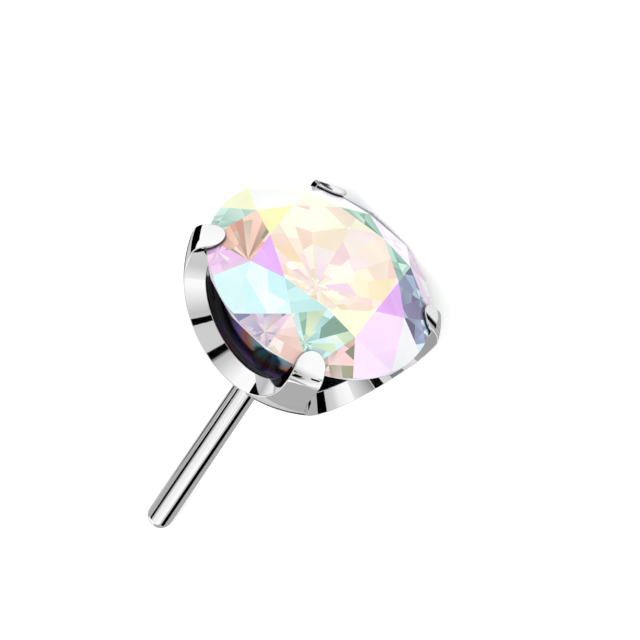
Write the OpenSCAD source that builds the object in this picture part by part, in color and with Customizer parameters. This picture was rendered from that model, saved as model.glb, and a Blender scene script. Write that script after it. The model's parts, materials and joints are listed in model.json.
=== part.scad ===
// Push-in piercing top, lying on its side as it rests when it is put down:
// a round brilliant stone held by the four claws of a cup, with a straight
// round-tipped pin in the cup's back. Sizes are in millimetres.
// The head is drawn upright, with its origin in the middle of the girdle's
// upper plane, the stone's table facing +Z and the windows centred on the
// X and Y axes. It is then laid down with its pin towards -X.

/* [Stone] */
// Diameter of the stone, across the corners of its girdle
stone_d = 5; // [4:0.1:6]
// Width of the table, corner to corner, as a share of the stone's diameter
table_share = 0.573; // [0.53:0.001:0.63]
// Height of the crown as a share of the stone's diameter
crown_share = 0.145; // [0.12:0.001:0.16]
// How far the stars' outer points lie from the axis, as a share of the stone's radius
star_share = 0.744; // [0.72:0.001:0.78]
// Thickness of the girdle
girdle_t = 0.1; // [0.06:0.01:0.14]
// Depth of the pavilion as a share of the stone's diameter
pavilion_share = 0.43; // [0.4:0.001:0.44]
// How far the lower halves' inner points lie from the axis, as a share of the stone's radius
lower_share = 0.22; // [0.15:0.01:0.35]

/* [Cup] */
// How far the cup's round outside stands out past the stone's girdle
cup_margin = 0.275; // [0.26:0.005:0.35]
// Thickness of the cup's wall
cup_wall = 0.46; // [0.4:0.01:0.5]
// Half of the angle that a window between two claws takes up, seen along the axis
window_angle = 37.8; // [35:0.1:40]
// How far below the girdle the point lies from which the windows' sides fan out
window_drop = 0.53; // [0.4:0.01:0.7]

/* [Claws] */
// How far a claw reaches in over the stone's edge
claw_reach = 0.27; // [0.2:0.01:0.27]
// Height of a claw's tip over the girdle
claw_h = 0.28; // [0.28:0.01:0.32]
// Radius on the outside of a claw where it bends in
bend_r = 0.33; // [0.25:0.01:0.4]
// Angle below the girdle, at the middle of the cup, at which a claw starts to bend
bend_start = 5.5; // [4:0.5:5.5]
// Radius of a claw's round tip, seen along the axis
claw_tip_r = 0.325; // [0.3:0.005:0.4]

/* [Pin] */
// Diameter of the pin
pin_d = 0.53; // [0.45:0.01:0.6]
// Length of pin that stands out of the cup's back, with its round tip
pin_l = 5.46; // [4.5:0.01:7]
// Diameter of the pin's tapered end, where it is flush with the cup's hollow
taper_d = 0.4; // [0.3:0.01:0.44]

/* [Fit] */
// Gap between the stone and its seat in the claws
seat_gap = 0.02; // [0.015:0.005:0.025]
// Gap round the pin's tapered end in the cup's hole
pin_gap = 0.01; // [0.005:0.005:0.02]

/* [Hidden] */
$fn = 192;

// Number of main facets round the stone, and the angle between two of them
mains = 8;
main_step = 360 / mains;
// Number of claws, and of windows between them, and the angle between two of them
claws = 4;
claw_step = 360 / claws;

// Stone
girdle_r = stone_d / 2;
table_r = girdle_r * table_share;
crown_h = stone_d * crown_share;
crown_angle = atan2(crown_h, girdle_r - table_r);
pavilion_h = stone_d * pavilion_share;
pavilion_angle = atan2(pavilion_h, girdle_r);
culet_depth = girdle_t + pavilion_h;
star_r = girdle_r * star_share;
lower_r = girdle_r * lower_share;
// Heights that keep the four-cornered main facets flat
star_h = (girdle_r - star_r * cos(main_step / 2)) * tan(crown_angle);
lower_h = girdle_t + (girdle_r - lower_r * cos(main_step / 2)) * tan(pavilion_angle);

// Cup, and the outline of a claw as [distance from the axis, height]
cup_r = girdle_r + cup_margin;
// The hollow always clears the stone's point
hollow_r = max(cup_r - cup_wall, culet_depth + 2 * seat_gap);
reach_r = girdle_r - claw_reach;
wall_end = cup_r * [cos(bend_start), -sin(bend_start)];
bend_centre = (cup_r - bend_r) * [cos(bend_start), -sin(bend_start)];
tip = [reach_r, claw_h];
// The flat face runs from the tip to where it meets the bend without a step
tip_to_centre = bend_centre - tip;
face_slope = atan2(tip_to_centre.y, tip_to_centre.x) + asin(bend_r / norm(tip_to_centre));
along_face = [cos(face_slope), sin(face_slope)];
face_l = sqrt(pow(norm(tip_to_centre), 2) - pow(bend_r, 2));

// Pin
pin_r = pin_d / 2;
pin_tip_z = cup_r + pin_l - pin_r;
taper_r = taper_d / 2;
// Depth at which the taper starts, just clear of the hole's edge in the cup's round back
taper_z = sqrt(pow(cup_r, 2) - pow(pin_r + pin_gap, 2)) + pin_gap;
// Depth inside the hollow at which the hole's cutter ends
hole_z = hollow_r - taper_r;
// Cutters pass through the metal by this much
over = 1;

// Rest position

// Angle from a window's middle to the claw's edge, where the cup's outside
// has radius r about the axis and lies z below the girdle
function edge_angle(r, z) = z < window_drop ? window_angle :
    asin(sqrt(max(0, pow(r * sin(window_angle), 2) - pow((z - window_drop) * cos(window_angle), 2))) / r);

// How far a claw's edge point, sunk by an angle below the girdle, lies below the head's centre
function edge_depth(sink, tilt, roll) =
    let (r = cup_r * cos(sink), z = cup_r * sin(sink))
    r * cos(edge_angle(r, z) - roll) * cos(tilt) + z * sin(tilt);

// How far the lowest point of a claw's edge lies below the head's centre
function claw_depth(tilt, roll) = max([for (sink = [0:40]) edge_depth(sink, tilt, roll)]);

// How far the girdle's corner in the lowest window lies below the head's centre
function girdle_depth(tilt, roll) = girdle_r * cos(roll) * cos(tilt) + girdle_t * sin(tilt);

// Roll at which the girdle's corner and a claw's edge touch the table together
function touching_roll(tilt, low, high, rounds) =
    let (middle = (low + high) / 2)
    rounds == 0 ? middle :
    girdle_depth(tilt, middle) > claw_depth(tilt, middle) ?
        touching_roll(tilt, middle, high, rounds - 1) :
        touching_roll(tilt, low, middle, rounds - 1);

// Tilt of the axis that also brings the pin's tip down to the table
function resting_tilt(rounds) =
    rounds == 0 ? 15 :
    let (tilt = resting_tilt(rounds - 1))
    asin((claw_depth(tilt, touching_roll(tilt, 0, claw_step / 4, 20)) - pin_r) / pin_tip_z);

tilt = resting_tilt(8);
roll = touching_roll(tilt, 0, claw_step / 4, 20);
centre_h = claw_depth(tilt, roll);
// Ends of the part along X, measured from the head's centre
table_end = crown_h * cos(tilt) + table_r * cos(roll) * sin(tilt);
tip_end = -pin_tip_z * cos(tilt) - pin_r;

// Lays the upright head down: window down, pin towards -X, middle of its length over the origin
module laid_down() {
    translate([-(table_end + tip_end) / 2, 0, centre_h])
        rotate([0, 90 - tilt, 0])
            rotate([0, 0, 180 - roll])
                children();
}

// Points of one ring of the stone, from an angle on
function ring(r, z, count, start) =
    [for (i = [0:count - 1]) let (a = start + i * 360 / count) [r * cos(a), r * sin(a), z]];

// Where each ring starts in the stone's list of points
star_at = mains;
girdle_at = star_at + mains;
edge_at = girdle_at + 2 * mains;
lower_at = edge_at + 2 * mains;
culet_at = lower_at + mains;

module stone() {
    points = concat(
        ring(table_r, crown_h, mains, 0),
        ring(star_r, star_h, mains, main_step / 2),
        ring(girdle_r, 0, 2 * mains, 0),
        ring(girdle_r, -girdle_t, 2 * mains, 0),
        ring(lower_r, -lower_h, mains, main_step / 2),
        [[0, 0, -culet_depth]]
    );
    corners = 2 * mains;
    facets = concat(
        [[for (i = [mains - 1:-1:0]) i]],
        [for (i = [0:mains - 1]) [i, (i + 1) % mains, star_at + i]],
        [for (i = [0:mains - 1]) [i, star_at + i, girdle_at + 2 * i, star_at + (i + mains - 1) % mains]],
        [for (i = [0:mains - 1]) [star_at + i, girdle_at + 2 * i + 1, girdle_at + 2 * i]],
        [for (i = [0:mains - 1]) [star_at + i, girdle_at + (2 * i + 2) % corners, girdle_at + 2 * i + 1]],
        [for (i = [0:corners - 1]) let (j = (i + 1) % corners)
            [girdle_at + i, girdle_at + j, edge_at + j, edge_at + i]],
        [for (i = [0:mains - 1]) [edge_at + 2 * i, edge_at + 2 * i + 1, lower_at + i]],
        [for (i = [0:mains - 1]) [edge_at + 2 * i + 1, edge_at + (2 * i + 2) % corners, lower_at + i]],
        [for (i = [0:mains - 1])
            [edge_at + 2 * i, lower_at + i, culet_at, lower_at + (i + mains - 1) % mains]]
    );
    color("lavender") laid_down() polyhedron(points, facets);
}

// Room for the stone, with its gap, and for the opening between the claws' tips
module stone_room() {
    wide = girdle_r + seat_gap;
    clear_r = reach_r - claw_tip_r / 2;
    crown_up = seat_gap / cos(crown_angle);
    pavilion_down = seat_gap / cos(pavilion_angle);
    rotate_extrude() polygon([
        [0, -culet_depth - pavilion_down],
        [wide, -girdle_t + seat_gap * tan(pavilion_angle) - pavilion_down],
        [wide, crown_up - seat_gap * tan(crown_angle)],
        [clear_r, crown_up + (girdle_r - clear_r) * tan(crown_angle)],
        [clear_r, cup_r],
        [0, cup_r]
    ]);
}

// Radius of the pin's tapered end at a depth below the girdle
function taper_at(depth) = taper_r + (pin_r - taper_r) * (depth - hollow_r) / (taper_z - hollow_r);

// Half-round blank, whose rim bends in to the flat faces of the claws
module cup_blank() {
    inner_end = tip - claw_tip_r / 2 * along_face;
    deep = 2 * cup_r;
    rotate_extrude() {
        intersection() {
            circle(r = cup_r);
            polygon([[0, 0], 2 * wall_end, [deep, -deep], [0, -deep]]);
        }
        translate(bend_centre) circle(r = bend_r);
        polygon([[0, 0], wall_end, tip + face_l * along_face, inner_end, [0, inner_end.y]]);
    }
}

// Half-round hollow under the stone
module cup_hollow() {
    difference() {
        sphere(r = hollow_r);
        translate([-cup_r, -cup_r, -girdle_t])
            cube([2 * cup_r, 2 * cup_r, cup_r]);
    }
}

// Window centred on +X: its sides and bottom fan out from one point on the axis
module window() {
    far = cup_r + over;
    half_w = far * tan(window_angle);
    translate([0, 0, -window_drop]) {
        rotate([0, 90, 0])
            cylinder(h = far, r1 = 0, r2 = half_w);
        linear_extrude(cup_r)
            polygon([[0, 0], [far, -half_w], [far, half_w]]);
    }
}

// What is cut from the claw on +X to give it a round tip
module tip_corners() {
    centre = reach_r + claw_tip_r;
    difference() {
        translate([0, -2 * claw_tip_r, 0])
            cube([centre, 4 * claw_tip_r, cup_r]);
        translate([centre, 0, -over])
            cylinder(h = cup_r + 2 * over, r = claw_tip_r);
    }
}

module claw_cup() {
    color("gainsboro") laid_down() difference() {
        cup_blank();
        cup_hollow();
        stone_room();
        for (i = [0:claws - 1]) rotate(i * claw_step) window();
        for (i = [0:claws - 1]) rotate((i + 0.5) * claw_step) tip_corners();
        translate([0, 0, -cup_r - over])
            cylinder(h = cup_r + over - hole_z,
                     r1 = taper_at(cup_r + over) + pin_gap, r2 = taper_at(hole_z) + pin_gap);
    }
}

// Round-tipped pin, whose tapered end fills the cup's hole and is flush with the hollow
module pin() {
    color("silver") laid_down() {
        translate([0, 0, -pin_tip_z]) sphere(r = pin_r);
        rotate_extrude() polygon([
            [0, -pin_tip_z],
            [pin_r, -pin_tip_z],
            [pin_r, -taper_z],
            [taper_r, -hollow_r],
            [0, -hollow_r]
        ]);
    }
}

stone();
claw_cup();
pin();
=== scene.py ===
"""Push-in piercing top: a coated brilliant stone in a four-clawed polished cup, with a straight pin.

The head is drawn upright in millimetres, with its origin in the middle of the
stone's girdle and the table facing +Z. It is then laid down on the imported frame,
with the pin towards -X, as the part rests when it is put down.
"""

import json
import logging
import math
import random
from dataclasses import dataclass
from enum import Enum
from typing import Any, Callable, Iterable, Sequence

import bmesh
import bpy
from bmesh.types import BMesh, BMFace
from bpy.types import Material, Mesh, Node, NodeSocket, NodeTree, Object
from mathutils import Matrix, Vector


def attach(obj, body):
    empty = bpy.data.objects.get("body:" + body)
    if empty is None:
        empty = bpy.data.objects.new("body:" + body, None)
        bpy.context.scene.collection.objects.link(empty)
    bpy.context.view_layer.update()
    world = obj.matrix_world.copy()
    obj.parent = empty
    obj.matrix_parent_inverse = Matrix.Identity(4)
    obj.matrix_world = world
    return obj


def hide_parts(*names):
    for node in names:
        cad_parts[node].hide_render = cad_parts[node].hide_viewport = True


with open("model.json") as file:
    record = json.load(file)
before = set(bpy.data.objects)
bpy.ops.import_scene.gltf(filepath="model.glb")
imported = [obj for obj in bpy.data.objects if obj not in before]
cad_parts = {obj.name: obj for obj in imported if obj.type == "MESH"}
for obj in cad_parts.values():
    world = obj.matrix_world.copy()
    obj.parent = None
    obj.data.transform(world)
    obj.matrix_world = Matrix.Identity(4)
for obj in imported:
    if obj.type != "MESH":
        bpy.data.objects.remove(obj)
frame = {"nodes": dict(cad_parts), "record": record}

LOG = logging.getLogger("piercing_top")
MM = 0.001
# Points closer than this many millimetres are one point
MERGE = 1e-4
# Faces that meet at a larger angle have a sharp edge between them
SHARP = math.radians(35)
# A unit vector's component below this counts as none
TINY = 0.001
# Numbers that the facets of one slice of the stone take up
PER_SLICE = 10
# Sockets of a Mix node, by number as their names repeat: those for colours, and those for plain values
FACTOR, FIRST, SECOND, MIXED = 0, 6, 7, 2
FIRST_VALUE, SECOND_VALUE = 2, 3
Point2 = tuple[float, float]
Edge = list[Point2]


def linear(hex_colour: str) -> tuple[float, float, float, float]:
    """Turns an sRGB hex value into the linear colour that a shader takes.

    Args:
        hex_colour: Six hex digits, such as "e8f4ff".

    Returns:
        Red, green, blue and full alpha.
    """
    channels = [int(hex_colour[i:i + 2], 16) / 255 for i in (0, 2, 4)]
    return (*[c / 12.92 if c <= 0.04045 else ((c + 0.055) / 1.055) ** 2.4 for c in channels], 1.0)


def polar(r: float, angle: float, z: float) -> Vector:
    """The point at a distance from an axis, an angle round it and a height along it."""
    return Vector((r * math.cos(angle), r * math.sin(angle), z))


def feed(tree: NodeTree, node: Node, inputs: dict[str | int, Any]) -> None:
    """Feeds a node's inputs.

    Args:
        tree: The node's tree.
        node: The node.
        inputs: Name or index of each input, and the output socket or constant value for it.
    """
    for key, source in inputs.items():
        if isinstance(source, NodeSocket):
            tree.links.new(source, node.inputs[key])
        else:
            node.inputs[key].default_value = source


def add_node(tree: NodeTree, kind: str, inputs: dict[str | int, Any] | None = None,
             stops: Sequence[tuple[float, Sequence[float]]] = (), **settings: Any) -> Node:
    """Adds one node to a tree, with its settings and inputs.

    Args:
        tree: The shader or geometry tree.
        kind: The node's type name.
        inputs: What feeds its inputs.
        stops: Place and colour of each stop of the node's colour ramp, in order.
        **settings: Properties of the node itself.

    Returns:
        The new node.
    """
    node = tree.nodes.new(kind)
    for name, value in settings.items():
        setattr(node, name, value)
    feed(tree, node, inputs or {})
    for i, (place, colour) in enumerate(stops):
        elements = node.color_ramp.elements
        stop = elements[i] if i < 2 else elements.new(place)
        stop.position, stop.color = place, colour
    return node


def new_finish(name: str) -> tuple[Material, NodeTree, Node]:
    """Makes a material with a plain shader.

    Args:
        name: The material's name.

    Returns:
        The material, its node tree and its shader.
    """
    finish = bpy.data.materials.new(name)
    finish.use_nodes = True
    return finish, finish.node_tree, finish.node_tree.nodes["Principled BSDF"]


@dataclass(frozen=True)
class Placement:
    """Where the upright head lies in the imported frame."""

    centre: Vector
    rotation: Matrix

    @classmethod
    def from_frame(cls, crown_h: float, mains: int) -> "Placement":
        """Works the head's place out from the pin's mount and the stone's solid.

        Args:
            crown_h: Height of the stone's crown, from girdle to table.
            mains: Number of main facets round the stone.

        Returns:
            The placement, in millimetres.
        """
        mount = frame["record"]["mounts"][0]
        axis = -Vector(mount["axis"]).normalized()
        on_axis = Vector(mount["pos_m"]) / MM
        points = [v.co / MM - on_axis for v in frame["nodes"]["stone"].data.vertices]
        centre = on_axis + axis * (max(p.dot(axis) for p in points) - crown_h)
        lean = Matrix.Rotation(math.acos(axis.z), 3, "Y")
        upright = [lean.inverted() @ (p - axis * p.dot(axis)) for p in points]
        corner = max(upright, key=lambda p: p.length)
        step = math.pi / mains
        angle = math.atan2(corner.y, corner.x)
        # Azimuth 0 is the window that faces up
        turn = math.pi + angle - step * round(angle / step)
        return cls(centre, lean @ Matrix.Rotation(turn, 3, "Z"))

    @property
    def matrix(self) -> Matrix:
        """The head's millimetres turned into the frame's metres."""
        return Matrix.Scale(MM, 4) @ Matrix.Translation(self.centre) @ self.rotation.to_4x4()

    def direction(self, azimuth: float, off_axis: float) -> Vector:
        """The frame's unit direction at an azimuth round the head's axis and an angle off it, in degrees."""
        a, b = math.radians(azimuth), math.radians(off_axis)
        return self.rotation @ polar(math.sin(b), a, math.cos(b))


@dataclass(frozen=True)
class Arc:
    """Round stretch of an outline in the plane of distance from the axis and height."""

    centre: Point2
    radius: float

    def crossed(self, start: Point2, way: Point2) -> Point2:
        """Finds where a ray leaves the circle.

        Args:
            start: The ray's start.
            way: Its unit direction.

        Returns:
            The crossing.
        """
        dx, dy = start[0] - self.centre[0], start[1] - self.centre[1]
        along = dx * way[0] + dy * way[1]
        reach = -along + math.sqrt(along ** 2 - dx ** 2 - dy ** 2 + self.radius ** 2)
        return start[0] + reach * way[0], start[1] + reach * way[1]


@dataclass(frozen=True)
class Straight:
    """Straight stretch of an outline."""

    first: Point2
    last: Point2

    def crossed(self, start: Point2, way: Point2) -> Point2:
        """Finds where a ray crosses the line.

        Args:
            start: The ray's start.
            way: Its unit direction.

        Returns:
            The crossing.
        """
        run = (self.last[0] - self.first[0], self.last[1] - self.first[1])
        gap = (self.first[0] - start[0], self.first[1] - start[1])
        reach = (gap[0] * run[1] - gap[1] * run[0]) / (way[0] * run[1] - way[1] * run[0])
        return start[0] + reach * way[0], start[1] + reach * way[1]


@dataclass(frozen=True)
class Outline:
    """An outline round the head's axis, seen from one point on the axis."""

    eye: Point2
    stretches: Sequence[tuple[float, Arc | Straight]]

    def elevation(self, point: Point2) -> float:
        """Angle at which the eye sees a point, up from the level."""
        return math.atan2(point[1] - self.eye[1], point[0] - self.eye[0])

    def at(self, azimuth: float, elevation: float) -> Vector:
        """The surface's point in one direction from the eye.

        Args:
            azimuth: Angle round the axis.
            elevation: Angle up from the level.

        Returns:
            The point, in millimetres.
        """
        stretch = next((s for end, s in self.stretches if elevation <= end), self.stretches[-1][1])
        r, z = stretch.crossed(self.eye, (math.cos(elevation), math.sin(elevation)))
        return polar(r, azimuth, z)


def spread(first: float, last: float, steps: int) -> list[float]:
    """Evenly spaced values after the first one, up to the last one."""
    return [first + (last - first) * (i + 1) / steps for i in range(steps)]


class RingTree:
    """Geometry Nodes that set copies of one slice round the axis."""

    def __init__(self, name: str) -> None:
        """Builds the tree with its named inputs.

        Args:
            name: The tree's name.
        """
        tree = self.tree = bpy.data.node_groups.new(name, "GeometryNodeTree")
        for socket, way, kind in (("Slice", "INPUT", "Geometry"), ("Copies", "INPUT", "Int"),
                                  ("Turn", "INPUT", "Float"), ("Finish", "INPUT", "Material"),
                                  ("Ring", "OUTPUT", "Geometry")):
            tree.interface.new_socket(socket, in_out=way, socket_type="NodeSocket" + kind)
        given = add_node(tree, "NodeGroupInput").outputs
        spots = add_node(tree, "GeometryNodePoints", {"Count": given["Copies"]})
        index = add_node(tree, "GeometryNodeInputIndex")
        angle = add_node(tree, "ShaderNodeMath", {0: index.outputs[0], 1: given["Turn"]},
                         operation="MULTIPLY")
        turn = add_node(tree, "ShaderNodeCombineXYZ", {"Z": angle.outputs[0]})
        copies = add_node(tree, "GeometryNodeInstanceOnPoints", {
            "Points": spots.outputs[0], "Instance": given["Slice"], "Rotation": turn.outputs[0]})
        real = add_node(tree, "GeometryNodeRealizeInstances", {"Geometry": copies.outputs[0]})
        dressed = add_node(tree, "GeometryNodeSetMaterial", {
            "Geometry": real.outputs[0], "Material": given["Finish"]})
        add_node(tree, "NodeGroupOutput", {"Ring": dressed.outputs[0]})

    def ring(self, piece: Object, copies: int, finish: Material) -> None:
        """Turns an object that holds one slice into the whole closed ring.

        Args:
            piece: The object, whose mesh is the slice.
            copies: Number of slices round the axis.
            finish: The material of the ring.
        """
        modifier = piece.modifiers.new("ring", "NODES")
        modifier.node_group = self.tree
        given = {"Copies": copies, "Turn": 2 * math.pi / copies, "Finish": finish}
        for item in self.tree.interface.items_tree:
            if item.in_out == "INPUT" and item.name in given:
                modifier[item.identifier] = given[item.name]
        bpy.context.view_layer.update()
        whole = bpy.data.meshes.new_from_object(piece.evaluated_get(bpy.context.evaluated_depsgraph_get()))
        piece.modifiers.remove(modifier)
        slice_mesh, piece.data = piece.data, whole
        bpy.data.meshes.remove(slice_mesh)
        whole.name = piece.name


def new_piece(name: str, mesh: Mesh) -> Object:
    """Links a new object with a mesh into the scene, at the origin.

    Args:
        name: The piece's name.
        mesh: Its mesh.

    Returns:
        The object.
    """
    piece = bpy.data.objects.new(name, mesh)
    bpy.context.scene.collection.objects.link(piece)
    return piece


def mesh_of(name: str, points: Sequence[Vector], faces: Sequence[Sequence[int]]) -> Mesh:
    """Makes a mesh from points and faces.

    Args:
        name: The mesh's name.
        points: Its points, in the head's millimetres.
        faces: Its faces, as indices of points.

    Returns:
        The mesh.
    """
    mesh = bpy.data.meshes.new(name)
    mesh.from_pydata([tuple(p) for p in points], [], [tuple(f) for f in faces])
    return mesh


def close_up(mesh: Mesh, smooth: bool) -> None:
    """Merges a mesh's doubles and turns its faces outwards.

    Args:
        mesh: The mesh, in the head's millimetres.
        smooth: Whether its faces are shaded smooth, between edges that stay sharp.
    """
    work = bmesh.new()
    work.from_mesh(mesh)
    bmesh.ops.remove_doubles(work, verts=work.verts, dist=MERGE)
    bmesh.ops.dissolve_degenerate(work, dist=MERGE, edges=work.edges)
    bmesh.ops.recalc_face_normals(work, faces=work.faces)
    if work.calc_volume(signed=True) < 0:
        bmesh.ops.reverse_faces(work, faces=work.faces)
    for face in work.faces:
        face.smooth = smooth
    for edge in work.edges:
        edge.smooth = smooth and edge.calc_face_angle(math.pi) < SHARP
    work.to_mesh(mesh)
    work.free()


@dataclass
class Stone:
    """The brilliant stone, cut as one slice and repeated round its axis.

    Its sizes are the part's, in millimetres and as shares of its diameter or radius.
    """

    diameter: float = 5.0
    table_share: float = 0.573
    crown_share: float = 0.145
    star_share: float = 0.744
    girdle_t: float = 0.1
    pavilion_share: float = 0.43
    lower_share: float = 0.22
    mains: int = 8
    # Straight sides of each of the 16 arcs of the girdle, and rows of faces up its height
    arc_sides: int = 4
    girdle_rows: int = 4

    def __post_init__(self) -> None:
        """Works the other sizes out of the shares."""
        self.girdle_r = self.diameter / 2
        self.table_r = self.girdle_r * self.table_share
        self.crown_h = self.diameter * self.crown_share
        self.crown_slope = self.crown_h / (self.girdle_r - self.table_r)
        self.pavilion_h = self.diameter * self.pavilion_share
        self.pavilion_slope = self.pavilion_h / self.girdle_r
        self.step = 2 * math.pi / self.mains

    def slice_mesh(self) -> Mesh:
        """Makes one slice of whole facets: a table wedge, star, bezel, halves, girdle and main.

        Returns:
            The slice's mesh, in the head's millimetres.
        """
        half = math.cos(self.step / 2)
        star_r, lower_r = self.girdle_r * self.star_share, self.girdle_r * self.lower_share
        star_h = (self.girdle_r - star_r * half) * self.crown_slope
        lower_h = self.girdle_t + (self.girdle_r - lower_r * half) * self.pavilion_slope

        def at(r: float, steps: float, z: float) -> Vector:
            """A point at a radius, a number of steps round and a height."""
            return polar(r, steps * self.step, z)

        def arc(start: float, z: float, inner: Vector) -> list[Vector]:
            """Points of the girdle's circle along one half facet, in that facet's plane.

            Args:
                start: Steps round to the arc's first end.
                z: Height of both ends.
                inner: The facet's inner corner.

            Returns:
                The points, with both ends.
            """
            points = [at(self.girdle_r, start + 0.5 * i / self.arc_sides, z)
                      for i in range(self.arc_sides + 1)]
            across = (points[-1] - points[0]).cross(inner - points[0])
            for point in points[1:-1]:
                gap = point - points[0]
                point.z -= (across.x * gap.x + across.y * gap.y) / across.z
            return points

        top = Vector((0, 0, self.crown_h))
        table = [at(self.table_r, s, self.crown_h) for s in (0, 1)]
        star = [at(star_r, s, star_h) for s in (-0.5, 0.5)]
        lower = [at(lower_r, s, -lower_h) for s in (-0.5, 0.5)]
        rims = [arc(s, 0, star[1]) for s in (0, 0.5)]
        edges = [arc(s, -self.girdle_t, lower[1]) for s in (0, 0.5)]
        culet = Vector((0, 0, -self.girdle_t - self.pavilion_h))
        facets = [
            (top, table[0], table[1]),
            (table[0], star[1], table[1]),
            (table[0], star[0], rims[0][0], star[1]),
            (edges[0][0], lower[0], culet, lower[1]),
            *((star[1], *rim) for rim in rims),
            *((lower[1], *edge) for edge in edges),
        ]
        for rim, edge in zip(rims, edges):
            rows = [[a.lerp(b, i / self.girdle_rows) for a, b in zip(rim, edge)]
                    for i in range(self.girdle_rows + 1)]
            for high, low in zip(rows, rows[1:]):
                facets += [(high[i], low[i], low[i + 1], high[i + 1]) for i in range(self.arc_sides)]
        points = [p for facet in facets for p in facet]
        starts = [sum(len(f) for f in facets[:i]) for i in range(len(facets))]
        faces = [range(s, s + len(f)) for s, f in zip(starts, facets)]
        return mesh_of("stone", points, faces)

    def build(self, ring: RingTree, place: Placement, finish: Material) -> Object:
        """Makes the stone and hands it to the frame.

        Args:
            ring: The tree that repeats the slice.
            place: Where the head lies.
            finish: The stone's material.

        Returns:
            The piece.
        """
        piece = new_piece("brilliant_stone", self.slice_mesh())
        ring.ring(piece, self.mains, finish)
        close_up(piece.data, smooth=False)
        Shards(self).cut(piece.data)
        piece.data.transform(place.matrix)
        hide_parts("stone")
        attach(piece, "root")
        return piece


class Facet(Enum):
    """The kinds of facet that the stone is cut with, and each one's number within a slice.

    A kind that a slice has two of takes the next number too. The mains can take
    the number of the next slice's table, since the table is a single facet.
    """

    TABLE = 0
    STAR = 2
    BEZEL = 3
    HALF = 4
    GIRDLE = 6
    LOWER = 8
    MAIN = 10


class Shimmer(Enum):
    """Painted light of one facet: the film's colours, with painted reflections bright and dark."""

    CREAM = ("fffce6", "f4d2c6", "fffae0", "fbe6cc", "f0c8bc", "fffef4", "f6d6ea", "f8e8a8", "fdf0e0",
             "fffdea")
    TEAL = ("a8dcd8", "b8e4e0", "c0ece8")
    LEMON = ("f8f6b0", "fdfcd8", "fbfac8")
    STRAW = ("ffffff", "fbfac0", "fcfcd8", "ffffff")
    VIOLET = ("dc9cec", "eab4f6", "e4a8f2")
    CYAN = ("dafdff", "ccf7fb", "e8fefe", "f8ffff")
    LILAC = ("fbe0fb", "fbe4fd", "f6d8fa")
    WHITE = ("ffffff", "fffefc", "fcfaff")
    BLUSH = ("fdf0fa", "f4d8f0", "ffffff", "e4c8e8", "e4ecec")
    PETAL = ("f4d4e8", "b0b0cc", "fbe8ee", "9898b8", "f8dcd8", "fdf4f8", "d0c0e0")
    PEACH = ("fbe4dc", "fdeee8", "f4ccc4", "fdf6f0", "e8b8a4", "f0e4c0")
    ORCHID = ("eeb8e8", "f4d0f0", "d8a0d4", "f8e0f4", "c490c0")
    SALMON = ("f8c0a8", "f4a890", "8f8664", "fbd8c8", "c88870", "6e6a48", "fbccb8", "f8b8a4")
    MOSS = ("86b8a0", "c8f4f8", "a8d4b8", "eef6c8", "5f9078", "c4f0f6", "d4ecf8", "70a88c")
    KHAKI = ("8c8c62", "f4bcb4", "a8a880", "fbd8dc", "74724c")
    MINT = ("90bca8", "b4dccc", "6f9c8c", "d8f4e8")
    SLATE = ("74648a", "a4b6d2", "8890b4", "d0f0f6", "585078")
    EDGE = ("f6f2f8", "e4f0f2", "ffffff", "ecdcee")
    # Painted shade along the girdle's edges
    GIRDLE_SHADE = ("4c4a60", "5a6a78", "3e3c50", "6c5c80")
    HEATHER = ("a48cc0", "c4b0dc", "8c7cac", "dcd0ec", "6c64a0")
    SPRING = ("c8f4cc", "dcf8d4", "f6fce4", "a8e4d4", "ecfbdc")
    ROSE = ("c08898", "e4b0b4", "a07084", "f4d8d4", "b07850")
    LAGOON = ("a8d8e4", "d4f0f4", "7cb4cc", "f0fafa", "5890b0")


@dataclass(frozen=True)
class Glint:
    """How one facet's painted reflections lie on it.

    Spokes is the number of cuts through the spot where its patches run together,
    and rings the number of cuts across each patch. The spot is given in steps
    round the stone and in millimetres from its axis. Without one it is the
    facet's middle.
    """

    shimmer: Shimmer
    spokes: int = 0
    spot: Point2 | None = None
    rings: int = 1


# Spot that two halves side by side share
PETALS = (0.38, 2.3)


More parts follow.
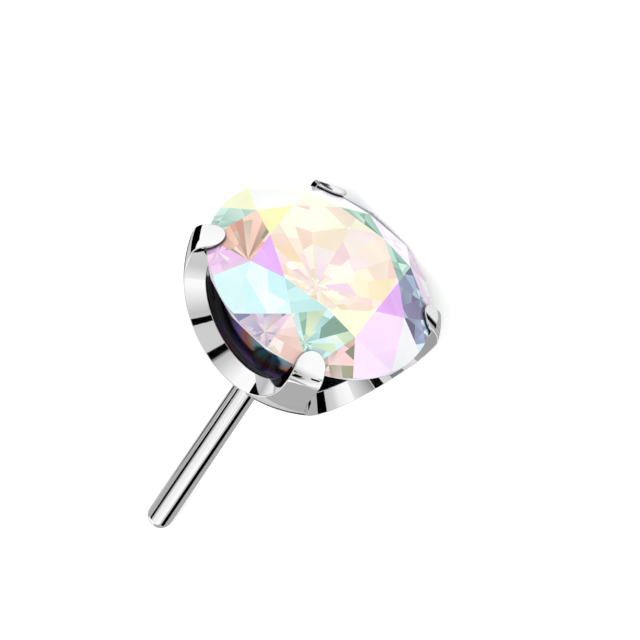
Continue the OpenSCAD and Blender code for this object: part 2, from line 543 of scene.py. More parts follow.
@dataclass
class Shards:
    """Painted reflections: the straight-edged patches that a cut stone shows where its facets mirror one
    another.
    """

    stone: Stone
    table: Glint = Glint(Shimmer.CREAM, 11, (0.57, 0.98), 4)
    stars: Sequence[Glint] = (
        Glint(Shimmer.TEAL, 1), Glint(Shimmer.LEMON), Glint(Shimmer.VIOLET, 1), Glint(Shimmer.MINT, 2),
        Glint(Shimmer.MINT, 2), Glint(Shimmer.STRAW), Glint(Shimmer.LEMON), Glint(Shimmer.VIOLET, 1))
    bezels: Sequence[Glint] = (
        Glint(Shimmer.CYAN, 4, (0.3, 2.2)), Glint(Shimmer.MOSS, 9, (0.85, 2.25), 2), Glint(Shimmer.LILAC, 1),
        Glint(Shimmer.SLATE, 5, (3.1, 2.2), 2), Glint(Shimmer.BLUSH, 4), Glint(Shimmer.WHITE),
        Glint(Shimmer.STRAW), Glint(Shimmer.SALMON, 20, (7.47, 1.86)))
    halves: Sequence[Glint] = (
        Glint(Shimmer.PETAL, 8, PETALS), Glint(Shimmer.PEACH, 8, PETALS),
        Glint(Shimmer.KHAKI, 5, (1.2, 2.3)), Glint(Shimmer.LILAC),
        Glint(Shimmer.WHITE), Glint(Shimmer.SLATE, 3, (2.75, 2.35)),
        *[Glint(Shimmer.BLUSH, 3)] * 3, *[Glint(Shimmer.WHITE)] * 3,
        Glint(Shimmer.STRAW), Glint(Shimmer.MINT, 2), Glint(Shimmer.ORCHID, 7, (7.2, 2.3)),
        Glint(Shimmer.CYAN))
    mains: Sequence[Glint] = (
        Glint(Shimmer.SPRING, 2), Glint(Shimmer.ROSE, 4), Glint(Shimmer.HEATHER, 3), Glint(Shimmer.LAGOON, 3))
    lowers: Sequence[Glint] = (
        Glint(Shimmer.HEATHER, 4), Glint(Shimmer.LAGOON, 3), Glint(Shimmer.SPRING, 1), Glint(Shimmer.ROSE, 3))
    girdle: Glint = Glint(Shimmer.EDGE)
    # Share of the way to its second colour that a patch's own colour goes
    fade: float = 0.6
    # Most that a spoke leaves its even place, as a share of the step between two
    stray: float = 0.35
    # Most that a cut across a patch leans, as the tangent of its angle
    lean: float = 0.8
    # Where within its ring a cut across a patch may lie
    cut_at: Point2 = (0.3, 0.9)
    # Distance in millimetres within which a cut goes through a point
    cut_near: float = 1e-5
    # A facet's dice start at its number, plus so much for each step of the seed
    seed: int = 5
    seed_step: int = 1000
    # Colour attribute that holds the film's colours with the painted reflections and painted shade
    layer: str = "film"

    def kind(self, face: BMFace) -> Facet:
        """Tells which kind of facet a face lies on, before it is cut up.

        Args:
            face: The face.

        Returns:
            The kind of facet.
        """
        height = face.calc_center_median().z
        if face.normal.z > 1 - TINY:
            return Facet.TABLE
        if abs(face.normal.z) < TINY:
            return Facet.GIRDLE
        if height < 0:
            return Facet.MAIN if len(face.verts) == 4 else Facet.LOWER
        on_top = sum(v.co.z > self.stone.crown_h - MERGE for v in face.verts)
        return (Facet.HALF, Facet.BEZEL, Facet.STAR)[on_top]

    def glint(self, kind: Facet, turn: float) -> tuple[int, Glint]:
        """Numbers a facet and chooses how its colours lie on it.

        Args:
            kind: The kind of facet.
            turn: Its middle's azimuth, in steps from one main facet to the next.

        Returns:
            The facet's number and its colours.
        """
        mains = self.stone.mains
        whole, nearest = math.floor(turn) % mains, round(turn) % mains
        half = math.floor(2 * turn) % (2 * mains)
        row, place, of_slice = {
            Facet.TABLE: ((self.table,), 0, 1), Facet.STAR: (self.stars, whole, 1),
            Facet.BEZEL: (self.bezels, nearest, 1), Facet.HALF: (self.halves, half, 2),
            Facet.GIRDLE: ((self.girdle,), half, 2), Facet.LOWER: (self.lowers, half, 2),
            Facet.MAIN: (self.mains, nearest, 1)}[kind]
        number = PER_SLICE * (place // of_slice) + kind.value + place % of_slice
        return number, row[place % len(row)]

    def cut(self, mesh: Mesh) -> None:
        """Cuts the facets of a stone's mesh into patches and colours them with painted reflections.

        Args:
            mesh: The closed stone, in the head's millimetres.
        """
        work = bmesh.new()
        work.from_mesh(mesh)
        colour = work.loops.layers.float_color.new(self.layer)
        mark = work.faces.layers.int.new("facet")
        facets: dict[int, tuple[Glint, Vector, Vector]] = {}
        for face in work.faces:
            middle = face.calc_center_median()
            face[mark], glint = self.glint(self.kind(face), math.atan2(middle.y, middle.x) / self.stone.step)
            if glint.spot:
                middle = polar(glint.spot[1], glint.spot[0] * self.stone.step, middle.z)
            facets[face[mark]] = (glint, middle, face.normal.copy())
        for number, (glint, middle, normal) in sorted(facets.items(), key=lambda item: item[0]):
            dice = random.Random(self.seed * self.seed_step + number)
            tints = [Vector(linear(c)) for c in glint.shimmer.value]
            dice.shuffle(tints)
            for i, faces in enumerate(self.burst(work, mark, number, glint, middle, normal, dice)):
                first, second = tints[i % len(tints)], dice.choice(tints)
                reach = max(((v.co - middle).length for f in faces for v in f.verts), default=1.0)
                for loop in (loop for face in faces for loop in face.loops):
                    share = (loop.vert.co - middle).length / reach if glint.spokes else dice.random()
                    loop[colour] = first.lerp(second, share * self.fade)
        self.shade_girdle_edges(work, mark, colour)
        work.to_mesh(mesh)
        work.free()

    def shade_girdle_edges(self, work: BMesh, mark: Any, colour: Any) -> None:
        """Paints shade along both edges of the girdle, as the thin dark lines that a cut stone shows there.

        Args:
            work: The stone.
            mark: The layer that holds each face's facet number.
            colour: The layer that holds each corner's colour.
        """
        dice = random.Random(self.seed)
        numbers = (Facet.GIRDLE.value, Facet.GIRDLE.value + 1)
        upright = {face for face in work.faces if face[mark] % PER_SLICE in numbers}
        for loop in (loop for face in sorted(upright, key=lambda f: f.index) for loop in face.loops):
            if any(face not in upright for face in loop.vert.link_faces):
                loop[colour] = Vector(linear(dice.choice(Shimmer.GIRDLE_SHADE.value)))

    def burst(self, work: BMesh, mark: Any, number: int, glint: Glint, middle: Vector,
              normal: Vector, dice: random.Random) -> list[list[BMFace]]:
        """Cuts one facet into patches that radiate from a point.

        Args:
            work: The stone.
            mark: The layer that holds each face's facet number.
            number: The facet's number.
            glint: How many patches there are.
            middle: Where the cuts radiate from.
            normal: The facet's normal.
            dice: Source of chance for this facet.

        Returns:
            The faces of each patch.
        """
        first = Vector((0, 0, 1)).cross(normal)
        first = (first if first.length > TINY else Vector((1, 0, 0))).normalized()
        second = normal.cross(first)

        def own() -> list[BMFace]:
            """The facet's faces."""
            return [f for f in work.faces if f[mark] == number]

        def slit(faces: list[BMFace], point: Vector, across: Vector) -> None:
            """Cuts faces along a plane."""
            parts = {p for f in faces for p in (f, *f.edges, *f.verts)}
            bmesh.ops.bisect_plane(work, geom=[*parts], dist=self.cut_near, plane_co=point, plane_no=across)

        if not glint.spokes:
            return [own()]
        turns = sorted(((i + dice.uniform(-self.stray, self.stray)) / (2 * glint.spokes)) % 0.5
                       for i in range(glint.spokes))
        for turn in turns:
            way = 2 * math.pi * turn
            slit(own(), middle, first * -math.sin(way) + second * math.cos(way))
        edges = turns + [t + 0.5 for t in turns]

        def sector(face: BMFace) -> int:
            """Tells between which two spokes a face lies.

            Args:
                face: A face of the facet.

            Returns:
                The number of the spoke that it lies behind.
            """
            gap = face.calc_center_median() - middle
            here = math.atan2(gap.dot(second), gap.dot(first)) / (2 * math.pi) % 1
            return sum(here > e for e in edges) % len(edges)

        patches: dict[tuple[int | bool, ...], list[BMFace]] = {}
        for i in range(len(edges)):
            mine = [f for f in own() if sector(f) == i]
            if not mine:
                continue
            far = max((v.co - middle).length for f in mine for v in f.verts)
            way = math.pi * (edges[i - 1] + edges[i] - (i == 0))
            out = first * math.cos(way) + second * math.sin(way)
            cuts = []
            for ring in range(glint.rings):
                across = (out + normal.cross(out) * dice.uniform(-self.lean, self.lean)).normalized()
                point = middle + out * far * (ring + dice.uniform(*self.cut_at)) / glint.rings
                slit([f for f in own() if sector(f) == i], point, across)
                cuts.append((point, across))
            for face in (f for f in own() if sector(f) == i):
                sides = ((face.calc_center_median() - point).dot(across) < 0 for point, across in cuts)
                patches.setdefault((i, *sides), []).append(face)
        return list(patches.values())


@dataclass
class ClawCup:
    """The cast cup with its four claws, drawn as one window and the half claws beside it.

    Its sizes are the part's, in millimetres and degrees.
    """

    stone: Stone
    margin: float = 0.275
    wall: float = 0.46
    window_angle: float = 37.8
    window_drop: float = 0.53
    claw_reach: float = 0.27
    claw_h: float = 0.28
    bend_r: float = 0.33
    bend_start: float = 5.5
    claw_tip_r: float = 0.325
    seat_gap: float = 0.02
    hole_r: float = 0.21
    edge_round: float = 0.022
    edge_rows: int = 3
    # One side of each claw closes in towards the stone by this share of its height above the draft's start
    draft: float = 0.035
    draft_from: float = -0.39
    # Depths under the girdle between which the hollow goes over to painted shade, painted reflections and a
    # rougher surface
    hollow_shade_depths: Point2 = (0.8, 2.315)
    claws: int = 4
    # Rows of faces up half a window's arch, and up a claw's straight side, bend, flat face and round tip
    arch_rows: int = 30
    side_rows: tuple[int, int, int, int] = (3, 9, 4, 12)
    across: int = 12
    hole_rows: int = 12
    # How far in the faces of a claw's tip run together: a share of its radius outside, millimetres inside
    fan_share: float = 0.85
    fan_in: float = 0.06

    def __post_init__(self) -> None:
        """Works the outlines out of the sizes."""
        stone = self.stone
        self.outer_r = stone.girdle_r + self.margin
        self.hollow_r = self.outer_r - self.wall
        self.reach_r = stone.girdle_r - self.claw_reach
        self.eye = (0.0, -self.window_drop)
        self.claw_at = math.pi / self.claws
        self.open_to = math.radians(self.window_angle)
        # Where a claw's straight side meets its round tip
        tip = self.reach_r + self.claw_tip_r
        middle = tip * math.cos(self.claw_at - self.open_to)
        self.corner_r = middle - math.sqrt(middle ** 2 - tip ** 2 + self.claw_tip_r ** 2)
        self.outside = self.outer_outline()
        self.inside = self.inner_outline()

    def outer_outline(self) -> Outline:
        """Works out the half-round outside, the bend and the claw's flat face.

        Returns:
            The outline.
        """
        sink = math.radians(self.bend_start)
        low, high = (math.cos(sink), -math.sin(sink)), (self.reach_r, self.claw_h)
        bend = tuple((self.outer_r - self.bend_r) * c for c in low)
        to_bend = (bend[0] - high[0], bend[1] - high[1])
        far = math.hypot(*to_bend)
        self.face_slope = math.atan2(to_bend[1], to_bend[0]) + math.asin(self.bend_r / far)
        face_l = math.sqrt(far ** 2 - self.bend_r ** 2)
        self.face_end = (high[0] + face_l * math.cos(self.face_slope),
                         high[1] + face_l * math.sin(self.face_slope))
        seen = Outline(self.eye, ())
        bend_foot = (self.outer_r * low[0], self.outer_r * low[1])
        self.bend_seen = [seen.elevation(p) for p in (bend_foot, self.face_end)]
        return Outline(self.eye, (
            (self.bend_seen[0], Arc((0.0, 0.0), self.outer_r)),
            (self.bend_seen[1], Arc(bend, self.bend_r)),
            (math.pi / 2, Straight(self.face_end, high))))

    def inner_outline(self) -> Outline:
        """Works out the hollow, the stone's seat, the wall round its girdle and the claw's underside.

        Returns:
            The outline.
        """
        stone, gap = self.stone, self.seat_gap
        down, up = stone.pavilion_slope, stone.crown_slope
        wide = stone.girdle_r + gap
        self.under_z = gap * math.hypot(1, up)
        base = -stone.girdle_t - stone.pavilion_h - gap * math.hypot(1, down)
        a, b, c = 1 + down ** 2, 2 * base * down, base ** 2 - self.hollow_r ** 2
        seat_r = (-b + math.sqrt(b ** 2 - 4 * a * c)) / (2 * a)
        seat_in, seat_out = (seat_r, base + seat_r * down), (wide, base + wide * down)
        wall_top = (wide, self.under_z - gap * up)
        claw_end = (self.reach_r, self.under(self.reach_r))
        seen = Outline(self.eye, ())
        self.seat_seen = [seen.elevation(p) for p in (seat_in, seat_out, wall_top)]
        return Outline(self.eye, (
            (self.seat_seen[0], Arc((0.0, 0.0), self.hollow_r)),
            (self.seat_seen[1], Straight(seat_in, seat_out)),
            (self.seat_seen[2], Straight(seat_out, wall_top)),
            (math.pi / 2, Straight(wall_top, claw_end))))

    def under(self, r: float) -> float:
        """Height of a claw's underside at a distance from the axis."""
        return self.under_z + (self.stone.girdle_r - r) * self.stone.crown_slope

    def face(self, r: float) -> float:
        """Height of a claw's flat face at a distance from the axis."""
        return self.claw_h + (r - self.reach_r) * math.tan(self.face_slope)

    def arch(self) -> Edge:
        """Works out a window's round lower edge, from its bottom up to one side.

        Returns:
            Azimuth and elevation of each point.
        """
        rise, run = math.sin(self.open_to), math.cos(self.open_to)
        turns = [math.pi / 2 * (i / self.arch_rows) for i in range(self.arch_rows + 1)]
        return [(math.atan2(rise * math.sin(t), run), -math.asin(rise * math.cos(t))) for t in turns]

    def shell(self, outline: Outline, sides: Sequence[float], height: Callable[[float], float],
              start_r: float, fan_r: float) -> tuple[Edge, Edge]:
        """Works out a shell's free edge, and the line at the other end of its rows.

        Args:
            outline: The shell's outline.
            sides: Elevations of the rows up the claw's side, below its flat part.
            height: Height of the claw's flat part at a distance from the axis.
            start_r: Distance from the axis at which the flat part starts.
            fan_r: Distance from the axis of the point that the rows of the round tip run to.

        Returns:
            The edge's directions and the far line's, each as azimuth and elevation.
        """
        centre, rows = self.reach_r + self.claw_tip_r, self.side_rows
        edge, far = self.arch(), []
        radius = self.outer_r if outline is self.outside else self.hollow_r
        hole_z = -math.sqrt(radius ** 2 - self.hole_r ** 2)
        hole = -math.acos(self.hole_r / math.hypot(self.hole_r, hole_z - self.eye[1]))
        # The far line runs round the hole and then up the middle of the claw
        far += [(self.claw_at * i / self.hole_rows, hole) for i in range(self.hole_rows + 1)]
        far += [(self.claw_at, e) for e in spread(hole, 0, self.arch_rows - self.hole_rows)]
        edge += [(self.open_to, e) for e in sides]
        far += [(self.claw_at, e) for e in sides]
        for r, far_r in zip(spread(start_r, self.corner_r, rows[2]), spread(start_r, fan_r, rows[2])):
            edge.append((self.open_to, outline.elevation((r, height(r)))))
            far.append((self.claw_at, outline.elevation((far_r, height(far_r)))))
        corner = math.asin((centre - self.corner_r * math.cos(self.claw_at - self.open_to)) / self.claw_tip_r)
        for turn in spread(corner, math.pi / 2, rows[3]):
            along, side = centre - self.claw_tip_r * math.sin(turn), self.claw_tip_r * math.cos(turn)
            r = math.hypot(along, side)
            edge.append((self.claw_at - math.atan2(side, along), outline.elevation((r, height(r)))))
            far.append((self.claw_at, outline.elevation((fan_r, height(fan_r)))))
        return edge, far

    def kept(self, z: float) -> float:
        """Share of its width that a claw keeps on its inner side, at a height."""
        half = self.stone.girdle_r * (self.claw_at - self.open_to)
        return 1 - max(z - self.draft_from, 0) * self.draft / half

    def shells(self) -> list[tuple[Outline, Edge, Edge]]:
        """Works out the outer and the inner shell.

        Returns:
            Each shell's outline, free edge and far line.
        """
        rows = self.side_rows
        bend, seat = self.bend_seen, self.seat_seen
        outer_sides = spread(0, bend[0], rows[0]) + spread(bend[0], bend[1], rows[1])
        inner_start = (self.stone.girdle_r + self.seat_gap + self.corner_r) / 2
        top = self.inside.elevation((inner_start, self.under(inner_start)))
        inner_sides = spread(0, seat[0], 1) + spread(seat[0], seat[1], rows[0] - 1) + \
            spread(seat[1], seat[2], rows[1] // 3) + spread(seat[2], top, rows[1] - rows[1] // 3)
        outer_fan = self.reach_r + self.claw_tip_r * self.fan_share
        inner_fan = self.stone.girdle_r - self.fan_in
        outer = self.shell(self.outside, outer_sides, self.face, self.face_end[0], outer_fan)
        inner = self.shell(self.inside, inner_sides, self.under, inner_start, inner_fan)
        return [(self.outside, *outer), (self.inside, *inner)]

    def quarter_mesh(self) -> Mesh:
        """Makes one window with half a claw on each side, open only where it meets the next one.

        Returns:
            The quarter's mesh, in the head's millimetres.
        """
        points: list[Vector] = []
        faces: list[tuple[int, int, int, int]] = []
        depths: list[float] = []

        def quad(corners: Iterable[Vector], hidden: bool = False) -> None:
            """Adds one four-cornered face, and tells how deep in the hollow its corners lie.

            Args:
                corners: The face's corners.
                hidden: Whether it is on the inner shell.
            """
            faces.append(tuple(range(len(points), len(points) + 4)))
            points.extend(corners)
            first, last = self.hollow_shade_depths
            depths.extend(min(max((-p.z - first) / (last - first), 0), 1) * hidden for p in points[-4:])

        for side in (1, -1):
            nets = []
            for outline, edge, far in self.shells():
                if outline is self.inside and side < 0:
                    edge = [(self.claw_at - (self.claw_at - a) * self.kept(outline.at(a, e).z), e)
                            for a, e in edge]
                shares = [i / self.across for i in range(self.across + 1)]
                net = [[outline.at(side * (a + (b - a) * t), low + (high - low) * t) for t in shares]
                       for (a, low), (b, high) in zip(edge, far)]
                nets.append(net)
                for low, high in zip(net, net[1:]):
                    for i in range(self.across):
                        quad((low[i], low[i + 1], high[i + 1], high[i]), outline is self.inside)
            outer, inner = nets
            for k in range(len(outer) - 1):
                quad((outer[k][0], outer[k + 1][0], inner[k + 1][0], inner[k][0]))
                if k < self.hole_rows:
                    quad((outer[k][-1], outer[k + 1][-1], inner[k + 1][-1], inner[k][-1]))
        mesh = mesh_of("claw_cup", points, faces)
        # The inside share carries painted shade and painted reflections deep in the hollow
        mesh.attributes.new("inside", "FLOAT", "CORNER").data.foreach_set("value", depths)
        return mesh

    def build(self, ring: RingTree, place: Placement, finish: Material) -> Object:
        """Makes the cup and hands it to the frame.

        Args:
            ring: The tree that repeats the quarter.
            place: Where the head lies.
            finish: The cup's material.

        Returns:
            The piece.
        """
        piece = new_piece("four_claw_cup", self.quarter_mesh())
        ring.ring(piece, self.claws, finish)
        close_up(piece.data, smooth=True)
        piece.data.transform(place.matrix)
        bevel = piece.modifiers.new("rounded_edges", "BEVEL")
        bevel.width, bevel.segments = self.edge_round * MM, self.edge_rows
        bevel.limit_method, bevel.angle_limit = "ANGLE", SHARP
        bevel.harden_normals, bevel.use_clamp_overlap = True, False
        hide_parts("claw_cup")
        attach(piece, "root")
        return piece


@dataclass
class Pin:
    """The straight pin, turned about the head's axis. Its sizes are in millimetres."""

    cup: ClawCup
    diameter: float = 0.53
    length: float = 5.46
    thin_d: float = 0.4
    sides: int = 64
    tip_rows: int = 14
    # Depth in the cup's wall down to which the pin keeps its full thickness
    root_depth: float = 0.12

    def outline(self) -> list[Point2]:
        """Works out the pin's outline, from its root in the cup to its tip.

        Returns:
            Distance from the axis and height of each point.
        """
        r, end = self.diameter / 2, self.cup.outer_r + self.length
        root = self.cup.outer_r - self.root_depth
        round_tip = [(r * math.cos(a), -(end - r) - r * math.sin(a))
                     for a in spread(0, math.pi / 2, self.tip_rows)]
        thin, flush = self.thin_d / 2, self.cup.hollow_r
        return [(0.0, -flush), (thin, -flush), (thin, -root), (r, -root), (r, -(end - r)), *round_tip]

    def build(self, place: Placement, finish: Material) -> Object:
        """Makes the pin and hands it to the frame.

        Args:
            place: Where the head lies.
            finish: The pin's material.

        Returns:
            The piece.
        """
        points, faces = [], []
        turns = [2 * math.pi * i / self.sides for i in range(self.sides + 1)]
        for (r0, z0), (r1, z1) in zip(self.outline(), self.outline()[1:]):
            for a, b in zip(turns, turns[1:]):
                faces.append(tuple(range(len(points), len(points) + 4)))
                points += [polar(*spot) for spot in
                           ((r0, a, z0), (r0, b, z0), (r1, b, z1), (r1, a, z1))]
        mesh = mesh_of("pin", points, faces)
        mesh.materials.append(finish)
        piece = new_piece("round_tipped_pin", mesh)
        close_up(mesh, smooth=True)
        mesh.transform(place.matrix)
        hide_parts("pin")
        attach(piece, "root")
        return piece


@dataclass(frozen=True)
class PolishedSteel:
    """Surgical steel, polished to a mirror, which shows the studio and little colour of its own.

    Faint lines that the last polishing left blur the mirror image unevenly, so the
    bright bands don't look like plastic. Deep in the cup the colour is painted:
    painted shade that darkens the hollow, and purple, orange and blue tints that are
    painted reflections of the stone's coloured underside, on a rougher surface.
    """

    name: str
    colour: str = "eeeeef"
    # Painted shade and painted reflections in the hollow, from its rim down to the weld
    hollow_shade: Sequence[tuple[float, str]] = (
        (0.4, "4c4a50"), (0.82, "3c3a40"), (0.89, "6c5ca4"), (0.94, "a8643c"), (0.985, "78b0c4"))
    # Length, width and height of the polishing lines in millimetres, as coarse as the render can show
    line: tuple[float, float, float] = (2.5, 2.5, 0.17)
    # Span of the noise that shows as lines
    span: Point2 = (0.3, 0.7)
    roughness: Point2 = (0.015, 0.06)
    hollow_roughness: float = 0.1
    # Strength and depth in millimetres of the lines' relief
    relief: Point2 = (0.03, 0.02)

    def material(self, place: Placement) -> Material:
        """Builds the material.

        Args:
            place: Where the head lies, as the polishing lines run about its axis.

        Returns:
            The material.
        """
        finish, tree, shader = new_finish(self.name)
        spot = add_node(tree, "ShaderNodeTexCoord").outputs["Object"]
        along = add_node(tree, "ShaderNodeMapping", {
            "Vector": spot, "Rotation": place.rotation.to_euler(), "Scale": [c * MM for c in self.line]},
            vector_type="TEXTURE")
        grain = add_node(tree, "ShaderNodeTexNoise", {
            "Vector": along.outputs[0], "Scale": 1.0, "Detail": 3.0}).outputs["Fac"]
        inside = add_node(tree, "ShaderNodeAttribute", attribute_name="inside").outputs["Fac"]
        haze = add_node(tree, "ShaderNodeMapRange", {
            "Value": grain, "From Min": self.span[0], "From Max": self.span[1],
            "To Min": self.roughness[0], "To Max": self.roughness[1]})
        rough = add_node(tree, "ShaderNodeMix", {
            FACTOR: inside, FIRST_VALUE: haze.outputs[0], SECOND_VALUE: self.hollow_roughness})
        # Painted shade and painted reflections deep in the hollow
        hollow_shade = add_node(tree, "ShaderNodeValToRGB", {"Fac": inside},
                        stops=[(0.0, linear(self.colour)), *((at, linear(c)) for at, c in self.hollow_shade)])
        relief = add_node(tree, "ShaderNodeBump", {
            "Height": grain, "Strength": self.relief[0], "Distance": self.relief[1] * MM})
        feed(tree, shader, {"Base Color": hollow_shade.outputs[0], "Metallic": 1.0, "Roughness": rough.outputs[0],
                            "Normal": relief.outputs[0]})
        return finish


@dataclass(frozen=True)
class CoatedCrystal:
    """Clear cut stone with a thin vapour-deposited film.

    Its colour from facet to facet is painted: the film's interference colours with
    painted reflections, where a cut stone's facets mirror one another, and painted
    shade where the claws close over it. The colour drifts a little within each facet,
    where the film was laid down thicker or thinner. The polish is perfect, so that
    light glances off each facet on its own.
    """

    name: str = "film_coated_zirconia"
    thin: str = "fbf9fd"
    thick: str = "eef3f1"
    # Distance in millimetres over which the film's thickness drifts, and the span of the noise that shows
    drift: float = 0.9
    span: Point2 = (0.35, 0.65)
    ior: float = 2.15
    # Painted shade where the claws close over the stone, standing in also for its reflection of the metal's
    # dark
    # underside: its colour, width in millimetres, and the shares of open sky at which it is full and gone
    contact_shade: str = "4c4450"
    contact_shade_w: float = 0.07
    contact_shade_span: Point2 = (0.5, 0.95)
    contact_shade_samples: int = 8

    def material(self) -> Material:
        """Builds the material.

        Returns:
            The material.
        """
        finish, tree, shader = new_finish(self.name)
        # The facets' painted reflections and painted shade, with the film's colours
        film = add_node(tree, "ShaderNodeAttribute", attribute_name=Shards.layer)
        spot = add_node(tree, "ShaderNodeTexCoord").outputs["Object"]
        cloud = add_node(tree, "ShaderNodeTexNoise", {
            "Vector": spot, "Scale": 1 / (self.drift * MM), "Detail": 2.0})
        share = add_node(tree, "ShaderNodeMapRange", {
            "Value": cloud.outputs["Fac"], "From Min": self.span[0], "From Max": self.span[1]})
        layer = add_node(tree, "ShaderNodeMix", {
            FACTOR: share.outputs[0], FIRST: linear(self.thin), SECOND: linear(self.thick)}, data_type="RGBA")
        tint = add_node(tree, "ShaderNodeMix", {
            FACTOR: 1.0, FIRST: film.outputs["Color"], SECOND: layer.outputs[MIXED]},
            data_type="RGBA", blend_type="MULTIPLY")
        # Painted shade: the stone's colour turns dark where the claws close over it, found by ambient
        # occlusion
        contact_occlusion = add_node(tree, "ShaderNodeAmbientOcclusion", {"Distance": self.contact_shade_w * MM},
                        samples=self.contact_shade_samples)
        open_share = add_node(tree, "ShaderNodeMapRange", {
            "Value": contact_occlusion.outputs["AO"], "From Min": self.contact_shade_span[0], "From Max": self.contact_shade_span[1]})
        with_contact_shade = add_node(tree, "ShaderNodeMix", {
            FACTOR: open_share.outputs[0], FIRST: linear(self.contact_shade), SECOND: tint.outputs[MIXED]},
            data_type="RGBA")
        feed(tree, shader, {"Base Color": with_contact_shade.outputs[MIXED], "Roughness": 0.0, "IOR": self.ior})
        return finish


@dataclass(frozen=True)
class Card:
    """A card beside the part, which the polished metal shows as a stripe or patch.

    It lies on a sphere round the part, between two azimuths and two elevations in
    degrees, at a distance in millimetres. Its shade runs evenly from the first
    azimuth's to the last one's.
    """

    name: str
    azimuth: Point2
    elevation: Point2
    shade: str = "000000"
    last_shade: str = ""
    distance: float = 600.0
    steps: int = 6

    def build(self) -> Object:
        """Makes the card, which only mirror surfaces see.

        Returns:
            The card.
        """
        def toward(azimuth: float, elevation: float) -> Vector:
            """The point in one direction, given in degrees."""
            a, e = math.radians(azimuth), math.radians(elevation)
            return polar(math.cos(e), a, math.sin(e)) * self.distance * MM

        azimuths, elevations = ([ends[0], *spread(*ends, self.steps)]
                                for ends in (self.azimuth, self.elevation))
        points = [toward(a, e) for a in azimuths for e in elevations]
        row = self.steps + 1
        corners = [i * row + j for i in range(self.steps) for j in range(self.steps)]
        faces = [(k, k + row, k + row + 1, k + 1) for k in corners]
        mesh = mesh_of(self.name, points, faces)
        first, last = (Vector(linear(c)) for c in (self.shade, self.last_shade or self.shade))
        shades = mesh.attributes.new("shade", "FLOAT_COLOR", "POINT")
        for i, point in enumerate(shades.data):
            point.color = first.lerp(last, i // row / self.steps)
        finish, tree, shader = new_finish(self.name)
        shade = add_node(tree, "ShaderNodeAttribute", attribute_name="shade")
        feed(tree, shader, {"Base Color": linear("000000"), "Specular IOR Level": 0.0,
                            "Emission Color": shade.outputs["Color"], "Emission Strength": 1.0})
        mesh.materials.append(finish)
        card = new_piece(self.name, mesh)
        card.visible_camera = card.visible_diffuse = False
        card.visible_shadow = card.visible_transmission = False
        return card


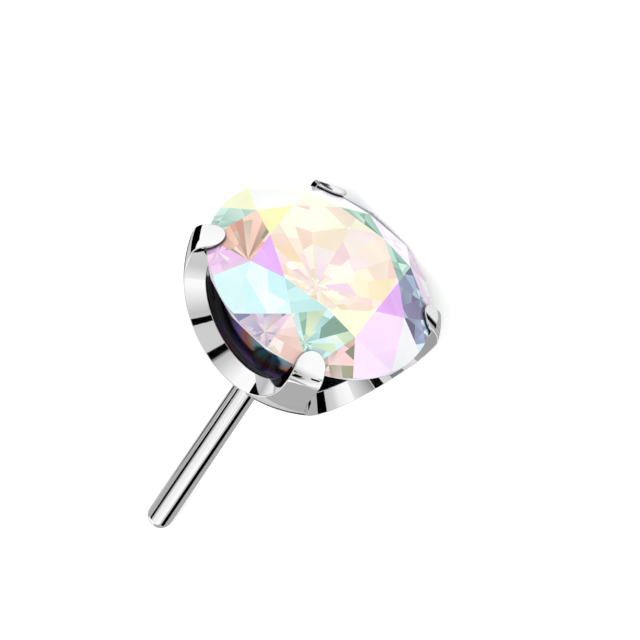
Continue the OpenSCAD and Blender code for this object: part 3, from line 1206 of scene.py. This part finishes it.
@dataclass
class Studio:
    """A pale floor, soft light all round, and the camera at the photograph's angle.

    Angles are in degrees, lengths in millimetres, and places in the picture in pixels.
    """

    place: Placement
    view_azimuth: float = 25.4
    view_off_axis: float = 46.44
    view_roll: float = 34.11
    frame_width: float = 13.0
    image_width: float = 640.0
    centre_px: tuple[float, float] = (320.0, 279.7)
    distance: float = 60.0
    clip: Point2 = (1.0, 1000.0)
    floor_size: float = 400.0
    # White paper, lit through a little from below, so that shadows on it stay faint
    paper: str = "f4f4f4"
    paper_roughness: float = 0.9
    paper_glow: float = 0.3
    brightness: float = 1.12
    # How bright the studio is at each height, from 0 right below to 1 right above
    shades: Sequence[Point2] = (
        (0.0, 0.43), (0.08, 0.45), (0.2, 0.6), (0.29, 0.66), (0.37, 0.9), (0.5, 1.0), (0.68, 1.0),
        (0.77, 0.8), (0.835, 0.56), (0.89, 0.64), (1.0, 0.72))
    cards: Sequence[Card] = (
        Card("flag_low_front", (-140.5, -125), (-24, -0.4)),
        Card("flag_behind", (145, 157.5), (12, 23.5)),
        Card("flag_far_side", (78, 128), (-28, 3)),
        Card("flag_far_corner", (127, 132.6), (-28, -8), distance=590.0),
        Card("flag_below", (-60, -36), (-60, -40)),
        Card("flag_below_front", (-24, -20.2), (-66.3, -63.8)),
        Card("flag_front", (-80, -66), (28.5, 35)),
        Card("flag_bend", (-112, -79), (41.2, 47.2)),
        Card("flag_bend_edge", (-112, -91), (37.5, 41.2), "8a8a8a"),
        Card("flag_above", (70, 120), (64, 74)),
        Card("flag_over_left", (-65, -53), (44.5, 50.5)),
        Card("flag_over_right", (5, 19), (42, 52)),
        Card("flag_over_right_edge", (19, 26), (41, 52), "101010", "c8c8c8"),
        Card("flag_far_below", (93, 96.4), (-65.3, -60), distance=590.0),
        Card("flag_far_below_end", (100.6, 103), (-72, -66.3), "303030", distance=590.0),
        Card("white_card_far_below", (80, 125), (-78, -55), "ffffff"),
        Card("white_card_below_front", (-20, -8), (-73, -66.6), "f4f4f4"),
        Card("grey_card_behind", (-178, -141.5), (-30, 8), "b8b8b8"),
        Card("grey_card_low", (-178, -124), (-62, -24), "b4b4b4", distance=610.0),
        Card("grey_card_far_side", (129, 145), (-28, 12), "b8b8b8"),
        Card("grey_card_back_top", (157, 172), (19, 30), "a0a0a0", "f4f4f4"),
        Card("grey_card_front", (-67.5, -50), (5, 28), "8c8c8c", "f8f8f8"),
        Card("grey_card_opposite", (128, 176), (-70, -46), "5c5c60"),
        Card("grey_card_right", (-148.6, -128), (16.2, 31), "a6a6a6", "b8b8b8"),
        Card("grey_card_left", (-141, -119), (-2, 15), "c4c4c4", "ffffff"),
    )

    def camera(self) -> Object:
        """Sets up a camera with parallel rays, as the photograph shows no perspective.

        Returns:
            The camera.
        """
        back = self.place.direction(self.view_azimuth, self.view_off_axis)
        axis = self.place.rotation @ Vector((0, 0, 1))
        across = axis.cross(back).normalized()
        # The head's axis leans by this angle from the picture's vertical
        lean = Matrix.Rotation(math.radians(self.view_roll), 3, back)
        right, up = lean @ across, lean @ back.cross(across)
        scale = self.frame_width / self.image_width
        off = (self.image_width / 2 - self.centre_px[0], self.centre_px[1] - self.image_width / 2)
        target = self.place.centre + right * off[0] * scale + up * off[1] * scale
        data = bpy.data.cameras.new("camera")
        data.type, data.ortho_scale = "ORTHO", self.frame_width * MM
        data.clip_start, data.clip_end = (c * MM for c in self.clip)
        camera = bpy.data.objects.new("camera", data)
        camera.matrix_world = Matrix.Translation((target + back * self.distance) * MM) @ \
            Matrix((right, up, back)).transposed().to_4x4()
        bpy.context.scene.collection.objects.link(camera)
        bpy.context.scene.camera = camera
        return camera

    def floor(self) -> Object:
        """Lays a plain pale floor under the part.

        Returns:
            The floor.
        """
        half = self.floor_size / 2 * MM
        corners = [Vector((x * half, y * half, 0)) for x, y in ((-1, -1), (1, -1), (1, 1), (-1, 1))]
        mesh = mesh_of("floor", corners, [range(4)])
        paper, tree, shader = new_finish("white_studio_paper")
        feed(tree, shader, {"Base Color": linear(self.paper), "Roughness": self.paper_roughness,
                            "Emission Color": linear("ffffff"), "Emission Strength": self.paper_glow})
        mesh.materials.append(paper)
        floor = new_piece("floor", mesh)
        floor.visible_glossy = False
        floor.visible_transmission = False
        return floor

    def light(self) -> None:
        """Surrounds the part with soft white light, which only mirror images see graded."""
        world = bpy.data.worlds.new("studio")
        world.use_nodes = True
        bpy.context.scene.world = world
        bpy.context.scene.view_settings.view_transform = "Standard"
        tree = world.node_tree
        way = add_node(tree, "ShaderNodeTexCoord").outputs["Generated"]
        height = add_node(tree, "ShaderNodeSeparateXYZ", {"Vector": way}).outputs["Z"]
        share = add_node(tree, "ShaderNodeMapRange", {"Value": height, "From Min": -1.0, "From Max": 1.0})
        mirrored = add_node(tree, "ShaderNodeValToRGB", {"Fac": share.outputs[0]},
                            stops=[(at, (shade, shade, shade, 1)) for at, shade in self.shades])
        in_mirror = add_node(tree, "ShaderNodeLightPath").outputs["Is Glossy Ray"]
        seen = add_node(tree, "ShaderNodeMix", {
            FACTOR: in_mirror, FIRST: linear("ffffff"), SECOND: mirrored.outputs[0]}, data_type="RGBA")
        feed(tree, tree.nodes["Background"], {"Color": seen.outputs[MIXED], "Strength": self.brightness})


def main() -> None:
    """Builds the studio and the three pieces, and reports each one."""
    logging.basicConfig(level=logging.INFO, format="%(name)s: %(message)s")
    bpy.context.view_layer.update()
    stone = Stone()
    place = Placement.from_frame(stone.crown_h, stone.mains)
    LOG.info("head centre %s", tuple(round(c, 4) for c in place.centre))
    studio = Studio(place)
    studio.camera()
    studio.floor()
    studio.light()
    for card in studio.cards:
        card.build()
    ring = RingTree("ring_of_slices")
    cup = ClawCup(stone)
    steel = PolishedSteel("mirror_polished_cast_steel").material(place)
    wire = PolishedSteel("mirror_polished_drawn_steel", line=(0.17, 0.17, 5.0)).material(place)
    for piece in (stone.build(ring, place, CoatedCrystal().material()), cup.build(ring, place, steel),
                  Pin(cup).build(place, wire)):
        LOG.info("%s: %d faces", piece.name, len(piece.data.polygons))


if __name__ == "__main__":
    main()
